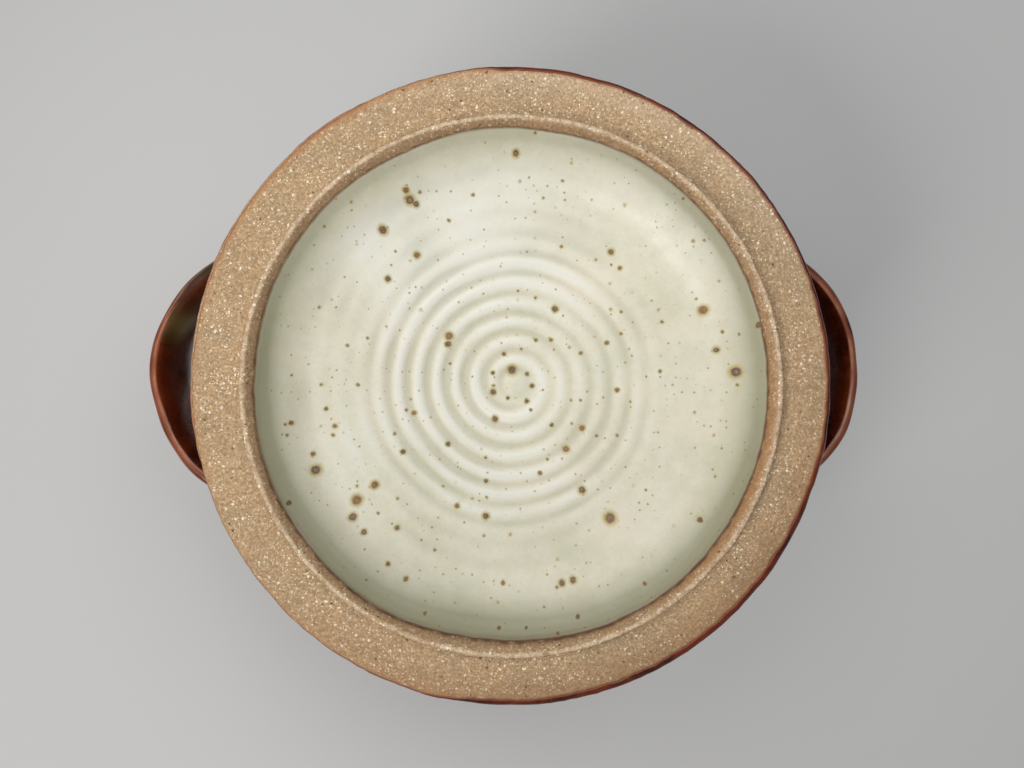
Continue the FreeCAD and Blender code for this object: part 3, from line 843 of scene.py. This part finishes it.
def build_dish_glaze(finish):
    angle = ring_angles(LID_COLUMNS)
    edge = dish_glaze_line(angle)
    along = glaze_rows(edge, 168)
    inside = edge - along
    relief = dish_relief(along, angle)
    lift = glaze_lift(relief, inside)
    under_along = np.linspace(1, 0, 14)[:, None] * (edge - GLAZE_INSET)
    radius, height = with_underside(lid_section, along, lift, under_along, LID_GLAZE_DEPTH)
    face_radius = radius[: len(along)]
    burn = around(angle, EDGE_BURN)
    thin = hump(inside, 0, 0.5 + 0.35 * burn) + 0.12 * burn * hump(inside, 1.6, 0.9)
    hollow = smooth_step(0.05, -0.32, relief) * (1 - smooth_step(86, 92, face_radius))
    # Glaze pooled in the hollows and by the edge, with painted shade by the edge and on the dish's -Y
    # side
    pool_and_shade = 0.32 * hollow + around(angle, EDGE_POOL_AND_SHADE) * hump(inside, 2.5, 5.5)
    pool_and_shade = pool_and_shade + 0.5 * around(angle, EDGE_POOL_AND_SHADE) * hump(inside, 8, 8)
    pool_and_shade = pool_and_shade + 0.17 * around(angle, DISH_SHADE) * smooth_step(5, 65, face_radius)
    # Whiter glaze on the ring crests; painted highlight and painted light are added below
    white_and_painted_light = smooth_step(0.02, 0.34, relief) * smooth_step(1, 9, face_radius)
    # Painted highlight: a white crescent on the first ring, on its -X and -Y side
    painted_highlight = around(angle, DISH_PAINTED_HIGHLIGHT) * 0.7
    white_and_painted_light = np.clip(white_and_painted_light + painted_highlight * hump(face_radius, 14.5, 2.6), 0, 1)
    # Painted light: a paler band beyond the rings on the dish's +Y side
    painted_light_band = smooth_step(30, 55, face_radius) * (1 - smooth_step(86, 96, face_radius))
    white_and_painted_light = np.clip(white_and_painted_light + 0.7 * around(angle, DISH_PAINTED_LIGHT) * painted_light_band, 0, 1)
    marks = face_marks({"thin": thin, "pool_and_shade": np.clip(pool_and_shade, 0, 1), "white_and_painted_light": white_and_painted_light}, under_along)
    return turned_piece("dish_glaze", radius, height, angle, LID_CENTRE, marks, finish)


def build_lid_glaze(finish):
    angle = ring_angles(POT_COLUMNS)
    edge = lap_line(angle)
    first = np.linspace(0, EDGE_ZONE, 12)[:, None] + edge
    main = edge + EDGE_ZONE + np.linspace(0.008, 1, 96)[:, None] * (lid_end - edge - EDGE_ZONE)
    along = np.vstack([first, main])
    inside = along - edge
    lift = glaze_lift(lid_relief(along, angle), inside)
    under_span = lid_end - edge - GLAZE_INSET
    under_along = edge + GLAZE_INSET + np.linspace(0, 1, 12)[:, None] * under_span
    under_along = under_along[::-1]
    rows = np.vstack([under_along, along])
    lifts = np.vstack([0 * under_along - LID_GLAZE_DEPTH, lift])
    radius, height = lid_section.at(rows, lifts)
    thin = 0.45 * hump(inside, 0, 0.4) + 0.25 * hump(inside, 6.5, 1.6)
    marks = {"thin": np.vstack([0 * under_along, thin])}
    return turned_piece("lid_outside_glaze", radius, height, angle, LID_CENTRE, marks, finish)


def build_knob(finish):
    """The knob, with a waist, finger grooves and a turned hollow in its end."""
    grip_start = KNOB_END + KNOB_GRIP
    section = Section(
        [
            (0, KNOB_END + 1.2, 0),
            (5, KNOB_END + 0.9, 0),
            (9, KNOB_END, 2.5),
            (KNOB_RADIUS, KNOB_END, 3.2),
            (KNOB_RADIUS + 0.3, grip_start, 3.2),
            (KNOB_NECK, dome_bottom - 7, 3.5),
            (KNOB_NECK, dome_bottom - 2.5, 2.2),
            (KNOB_NECK + 5, dome_bottom + 1.2, 0),
            (0, dome_bottom + 2.5, 0),
        ][::-1]
    )
    angle = ring_angles(KNOB_COLUMNS)
    along = np.linspace(0, section.length[-1], 96)[:, None] + 0 * angle
    radius, height = section.at(along)
    grooves = 0.14 * np.cos(2 * math.pi * height / 2.6 + angle)
    x, y = circle(radius, angle)
    lift = grooves * smooth_step(3, 8, radius) + 0.12 * waves(41, 18, x, y, height)
    radius, height = section.at(along, lift)
    thin = 0.9 * hump(along, section.near(KNOB_RADIUS, KNOB_END + 0.8), 1.3)
    thin = thin + 0.8 * hump(along, section.near(KNOB_RADIUS, grip_start - 0.8), 1.3)
    marks = {"thin": thin}
    return turned_piece("knob", radius, height, angle, LID_CENTRE, marks, finish)


# Pot section, from the middle of the floor up the inside, over the rim and down to the foot

def belly_arc(radius, height):
    """Axis distance of the centre and the radius of the arc from the belly to a place."""
    across = BELLY_RADIUS - radius
    rise = BELLY_HEIGHT - height
    reach = (across * across + rise * rise) / (2 * across)
    return BELLY_RADIUS - reach, reach


upper_centre, upper_reach = belly_arc(NECK_RADIUS, NECK_HEIGHT)
lower_centre, lower_reach = belly_arc(FOOT_RADIUS, FOOT_HEIGHT)


def wall_radius(height, depth=0.0):
    """Radius of the pot's wall at a height, a depth inside its outer face."""
    rise = height - BELLY_HEIGHT
    upper = upper_centre + np.sqrt((upper_reach - depth) ** 2 - np.where(rise > 0, rise, 0) ** 2)
    lower = lower_centre + np.sqrt((lower_reach - depth) ** 2 - np.where(rise < 0, rise, 0) ** 2)
    return np.where(rise > 0, upper, lower)


def wall_corners(heights, depth):
    return [(float(wall_radius(h, depth)), h, 0) for h in heights]


pot_section = Section(
    [(0, FLOOR_TOP, 0), (float(wall_radius(FLOOR_TOP, WALL)), FLOOR_TOP, 18)]
    + wall_corners(np.arange(33, 145, 4.0), WALL)
    + [
        (float(wall_radius(NECK_HEIGHT, WALL)), NECK_HEIGHT, 6),
        (MOUTH_RADIUS, POT_TOP, 2.5),
        (RIM_RADIUS, POT_TOP, 2.5),
        (RIM_RADIUS, POT_TOP - RIM_THICKNESS, 2.5),
        (NECK_RADIUS, NECK_HEIGHT, 6),
    ]
    + wall_corners(np.arange(140, 9, -4.0), 0)
    + [
        (FOOT_RADIUS, FOOT_HEIGHT, 1.5),
        (FOOT_RADIUS, 0, 1.5),
        (FOOT_RADIUS - FOOT_WIDTH, 0, 1.5),
        (FOOT_RADIUS - FOOT_WIDTH, FOOT_RECESS, 1.5),
        (0, FOOT_RECESS, 0),
    ]
)
liner_edge = pot_section.near(MOUTH_RADIUS - 0.4, POT_TOP - 2.2)
rim_outer_edge = pot_section.near(RIM_RADIUS, POT_TOP - 2.6)
glaze_foot = pot_section.near(float(wall_radius(13.0)), 13.0)
pot_end = pot_section.length[-1]


def liner_line(angle):
    """Where the glaze inside the pot ends below the rim."""
    x, y = circle(MOUTH_RADIUS, angle)
    return liner_edge + 0.5 * waves(51, 60, x, y) + 0.2 * waves(52, 8, x, y)


def rim_line(angle):
    """Where the outside glaze begins on the rim's edge."""
    x, y = circle(RIM_RADIUS, angle)
    return rim_outer_edge + 0.7 * waves(53, 50, x, y) + 0.3 * waves(54, 8, x, y)


def foot_line(angle):
    """Where the outside glaze stops above the foot, with thick runs that reach lower."""
    x, y = circle(FOOT_RADIUS + 2, angle)
    runs = 2.2 * np.clip(waves(55, 34, x, y), 0, 2) ** 2 * 0.5
    return glaze_foot + 1.0 * waves(56, 70, x, y) + runs + 0.25 * waves(57, 9, x, y) - 1.0


def pot_relief(along, angle):
    """Throwing lines on the belly, inner wall and floor, and a little unevenness."""
    radius, height = pot_section.at(along)
    x, y = circle(radius, angle)
    inside = 1 - smooth_step(liner_edge - 8, liner_edge - 2, along)
    outside = smooth_step(rim_outer_edge + 12, rim_outer_edge + 22, along)
    outside = outside * (1 - smooth_step(glaze_foot - 6, glaze_foot + 4, along))
    climb = height / OUTER_LINE_PITCH + angle / (2 * math.pi)
    wander = 0.1 * waves(61, 60, x, y, height)
    outer_lines = np.cos(2 * math.pi * (climb + wander))
    outer_lines = outer_lines + 0.4 * np.cos(4 * math.pi * (climb * 1.3 + wander))
    wall_share = smooth_step(18, 34, height)
    inner_turn = height / INNER_LINE_PITCH - angle / (2 * math.pi) + wander
    inner_lines = np.cos(2 * math.pi * inner_turn) * wall_share
    floor_turn = radius / FLOOR_LINE_PITCH + angle / (2 * math.pi) + wander
    floor_lines = np.cos(2 * math.pi * floor_turn) * (1 - wall_share) * smooth_step(4, 12, radius)
    relief = outside * 0.2 * outer_lines + inside * (0.3 * inner_lines + 0.28 * floor_lines)
    relief = relief + 0.22 * waves(62, 55, x, y, height) * np.clip(inside + outside, 0, 1)
    bare = (1 - inside) * (1 - outside)
    return relief + bare * (0.08 * waves(63, 14, x, y, height) + 0.04 * waves(64, 5, x, y, height))


def build_pot_clay(finish):
    angle = ring_angles(POT_COLUMNS)
    rows = np.concatenate(
        [
            np.arange(0, liner_edge - 4, 3.0),
            np.arange(liner_edge - 4, rim_outer_edge + 6, 0.6),
            np.arange(rim_outer_edge + 6, glaze_foot - 6, 3.0),
            np.arange(glaze_foot - 6, glaze_foot + 34, 0.8),
            np.linspace(glaze_foot + 34, pot_end, 40),
        ]
    )
    along = rows[:, None] + 0 * angle
    to_liner = along - liner_line(angle)
    to_rim = rim_line(angle) - along
    to_foot = along - foot_line(angle)
    outside_glaze = np.minimum(-to_rim, -to_foot)
    lift = pot_relief(along, angle) + settle(-to_liner) + settle(outside_glaze)
    radius, height = pot_section.at(along, lift)
    height = np.maximum(height, 0)
    x, y = circle(radius, angle)
    broken = 0.6 + 0.4 * waves(65, 6, x, y, height)
    edges = hump(to_liner, 0.1, 0.6) + hump(to_rim, 0, 0.7) + hump(to_foot, 0.2, 0.8)
    stain_and_shade = 0.7 * edges * broken
    toast_and_shade = 0.5 * hump(to_liner, 2, 2) + 0.6 * hump(to_rim, 1, 2.5) + 0.75 * hump(to_foot, 1.5, 4)
    toast_and_shade = toast_and_shade + 0.3 * smooth_step(0.2, 1.6, waves(66, 45, x, y, height))
    marks = {"stain_and_shade": np.clip(stain_and_shade, 0, 1), "toast_and_shade": np.clip(toast_and_shade, 0, 1)}
    return turned_piece("pot_clay", radius, height, angle, (0, 0), marks, finish)


def build_liner(finish):
    angle = ring_angles(POT_COLUMNS)
    edge = liner_line(angle)
    along = glaze_rows(edge, 110)
    inside = edge - along
    relief = pot_relief(along, angle)
    lift = glaze_lift(relief, inside)
    under_along = np.linspace(1, 0, 12)[:, None] * (edge - GLAZE_INSET)
    radius, height = with_underside(pot_section, along, lift, under_along, POT_GLAZE_DEPTH)
    thin = 0.9 * hump(inside, 0, 0.7) + 0.25 * hump(inside, 2, 1.6)
    floor_corner = pot_section.near(104, 20)
    pool_and_shade = 0.45 * smooth_step(0.1, -0.4, relief) + 0.5 * hump(inside, floor_corner, 14)
    marks = face_marks({"thin": thin, "pool_and_shade": np.clip(pool_and_shade, 0, 1)}, under_along)
    return turned_piece("inside_glaze", radius, height, angle, (0, 0), marks, finish)


def build_outside_glaze(finish):
    angle = ring_angles(POT_COLUMNS)
    start = rim_line(angle)
    stop = foot_line(angle)
    first = start + np.linspace(0, 2.7, 11)[:, None]
    main = start + EDGE_ZONE + np.linspace(0, 1, 118)[:, None] * (stop - start - 2 * EDGE_ZONE)
    last = stop - EDGE_ZONE + np.linspace(0.3, EDGE_ZONE, 11)[:, None]
    along = np.vstack([first, main, last])
    inside = np.minimum(along - start, stop - along)
    roll = 0.35 * hump(stop - along, 2.6, 1.8) * smooth_step(0, 2.5, stop - glaze_foot)
    relief = pot_relief(along, angle)
    lift = glaze_lift(relief, inside) + roll
    under_span = stop - start - 2 * GLAZE_INSET
    under_along = stop - GLAZE_INSET - np.linspace(0, 1, 14)[:, None] * under_span
    radius, height = with_underside(pot_section, along, lift, under_along, POT_GLAZE_DEPTH)
    thin = 0.9 * hump(along - start, 0, 0.8) + 0.5 * hump(along, rim_outer_edge + 5.6, 1.5)
    thin = thin + 0.75 * hump(stop - along, 0, 0.9) + 0.4 * smooth_step(0.15, 0.42, relief)
    marks = face_marks({"thin": thin}, under_along)
    return turned_piece("outside_glaze", radius, height, angle, (0, 0), marks, finish, False)


# Handles

def strap_surface(seed, angle, bend, grow):
    """Places on the strap at angles round its section and a bend along it, swollen by grow. With
    them come the distances out and up from the middle of the section."""
    share = np.clip(np.abs(bend) / ROOT_BEND, 0, 1)
    ease = share**1.6
    width = GRIP_WIDTH + (ROOT_WIDTH - GRIP_WIDTH) * ease + 2 * grow
    thickness = GRIP_THICKNESS + (ROOT_THICKNESS - GRIP_THICKNESS) * ease + 1.5 * grow
    across = np.cos(angle)
    upright = np.sin(angle)
    out = thickness / 2 * np.sign(across) * np.abs(across) ** STRAP_SQUARENESS
    up = width / 2 * np.sign(upright) * np.abs(upright) ** STRAP_SQUARENESS
    out = out - 0.9 * hump(up / (width / 2), 0, 0.45) * (across > 0) * np.abs(across)
    along_strap = bend * BEND_RADIUS + 0 * up
    reach = BEND_RADIUS + out + 0.16 * waves(seed, 20, along_strap, up, out)
    x = BEND_CENTRE + reach * np.cos(bend)
    y = reach * np.sin(bend)
    z = HANDLE_HEIGHT + up + 0.5 * waves(seed + 1, 70, along_strap)
    return x, y, z, out, up


def strap_marks(seed, angle, bend, out, up, olive_at, lean_at):
    """Glaze thin on the ridges and the outer face. The upper ridge leans inwards up to the bend
    lean_at. Round the bend olive_at the inner face is olive, and the top beyond it dark."""
    towards_end = 0 if lean_at is None else smooth_step(0, lean_at, bend)
    ridge_at = TOP_RIDGE - RIDGE_LEAN * towards_end
    ridge = hump(angle, ridge_at, math.radians(4.2))
    ridge = ridge + 0.5 * hump(angle, LOW_RIDGE, math.radians(6.5))
    streaks = 0.5 + 0.5 * waves(seed, 14, bend * BEND_RADIUS + 0 * up, up, out)
    ridge_across = np.cos(ridge_at)
    ridge_out = GRIP_THICKNESS / 2 * np.sign(ridge_across) * np.abs(ridge_across) ** STRAP_SQUARENESS
    outer_face = smooth_step(ridge_out - 0.6, ridge_out + 0.4, out) * (0.2 + 0.16 * streaks)
    thin = ridge * (0.9 + 0.2 * streaks) + outer_face
    olive = 0 * thin
    dark = 0 * thin
    if olive_at is not None:
        olive = hump(bend, olive_at, 0.13) * smooth_step(0.4, -1.5, out) * hump(up, 7, 8)
        dark = smooth_step(olive_at + 0.1, olive_at - 0.5, bend) * smooth_step(-2.5, -1.0, out)
        dark = dark * smooth_step(2, 14, up)
        thin = thin + 0.2 * smooth_step(0.3, -0.9, bend) * smooth_step(0, -2, out)
    return {"thin": np.clip(thin, 0, 1), "olive": np.clip(olive, 0, 1), "dark": dark}


def build_handle(name, turn, seed, olive_at, lean_at, finish):
    """A pulled strap whose two ends flare into the wall and follow it just under its surface."""
    angle = ring_angles(STRAP_COLUMNS)
    fine = np.radians(np.linspace(0, 100, 600))[:, None]
    ends = []
    for side in (-1, 1):
        x, y, z, *_ = strap_surface(seed, angle, side * fine, 0.0)
        inside = np.hypot(x, y) - (wall_radius(z) - STRAP_BURIED) < 0
        ends.append(side * fine[np.argmax(inside, axis=0), 0])
    share = np.linspace(0, 1, STRAP_ROWS)[:, None]
    bend = ends[0][None, :] * (1 - share) + ends[1][None, :] * share
    x, y, z, *_ = strap_surface(seed, angle, bend, 0.0)
    gap = np.clip(np.hypot(x, y) - wall_radius(z), 0, None)
    grow = STRAP_FLARE * np.exp(-gap / STRAP_FLARE_REACH)
    x, y, z, out, up = strap_surface(seed, angle, bend, grow)
    marks = strap_marks(seed + 2, angle, bend, out, up, olive_at, lean_at)
    cos, sin = math.cos(turn), math.sin(turn)
    places = np.stack([x * cos - y * sin, x * sin + y * cos, z], axis=-1).reshape(-1, 3)
    grid = grid_faces(STRAP_ROWS, STRAP_COLUMNS, False).tolist()
    faces = [face[::-1] for face in grid]
    count = STRAP_ROWS * STRAP_COLUMNS
    faces.append(list(range(STRAP_COLUMNS)))
    faces.append(list(range(count - 1, count - STRAP_COLUMNS - 1, -1)))
    return make_piece(name, places, faces, flat_marks(marks, x), finish)


# Pieces

stoneware = make_stoneware()
pale_glaze = make_pale_glaze()
iron_glaze = make_iron_glaze()

pieces = [
    (build_lid_clay(stoneware), "lid", "lid", "bare_stoneware"),
    (build_dish_glaze(pale_glaze), "lid", None, "pale_glaze"),
    (build_lid_glaze(iron_glaze), "lid", None, "iron_glaze"),
    (build_knob(iron_glaze), "lid", "lid_knob", "iron_glaze"),
    (build_pot_clay(stoneware), "pot", "pot_body", "bare_stoneware"),
    (build_liner(pale_glaze), "pot", None, "pale_glaze"),
    (build_outside_glaze(iron_glaze), "pot", None, "iron_glaze"),
    (build_handle("left_strap", *LEFT_STRAP, iron_glaze), "pot", "left_handle", "iron_glaze"),
    (build_handle("right_strap", *RIGHT_STRAP, iron_glaze), "pot", "right_handle", "iron_glaze"),
]
for piece, body, node, slot in pieces:
    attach(piece, body)
    if node is not None:
        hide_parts(node)


# Floor, light and camera

def build_floor():
    f = Finish("floor")
    base = f.mix(f.noise(300, 2, 0.5), FLOOR_GREY, FLOOR_PALE)
    normal = f.bump(f.noise(2, 2, 0.5), 0.02)
    finish = f.finish(base, 0.8, normal, 0.2)
    outline = [(-1, -1, 0), (1, -1, 0), (1, 1, 0), (-1, 1, 0)]
    corners = FLOOR_REACH * np.array(outline)
    floor = make_piece("floor", corners, [[0, 1, 2, 3]], {}, finish)


def add_lamp(name, azimuth, elevation, distance, size, power, tint):
    """A square lamp that faces the pot from a bearing counted from +X towards +Y, in degrees."""
    lamp = bpy.data.lights.new(name, "AREA")
    lamp.size = size
    lamp.energy = power
    lamp.color = tint
    holder = bpy.data.objects.new(name, lamp)
    bpy.context.scene.collection.objects.link(holder)
    turn, lift = math.radians(azimuth), math.radians(elevation)
    level = distance * math.cos(lift)
    height = distance * math.sin(lift) + LAMP_AIM
    holder.location = (level * math.cos(turn), level * math.sin(turn), height)
    holder.rotation_euler = (math.pi / 2 - lift, 0, turn + math.pi / 2)


build_floor()
for lamp_name, settings in LAMPS.items():
    add_lamp(lamp_name, *settings)

world = bpy.data.worlds.new("studio")
world.use_nodes = True
background = world.node_tree.nodes["Background"]
background.inputs["Color"].default_value = (1, 1, 1, 1)
background.inputs["Strength"].default_value = WORLD_LIGHT
bpy.context.scene.world = world

camera = bpy.data.objects.new("camera", bpy.data.cameras.new("camera"))
camera.data.lens = LENS
camera.data.sensor_width = SENSOR
camera.location = [length * MM for length in CAMERA_PLACE]
bpy.context.scene.collection.objects.link(camera)
bpy.context.scene.camera = camera
bpy.context.scene.view_settings.view_transform = "Standard"
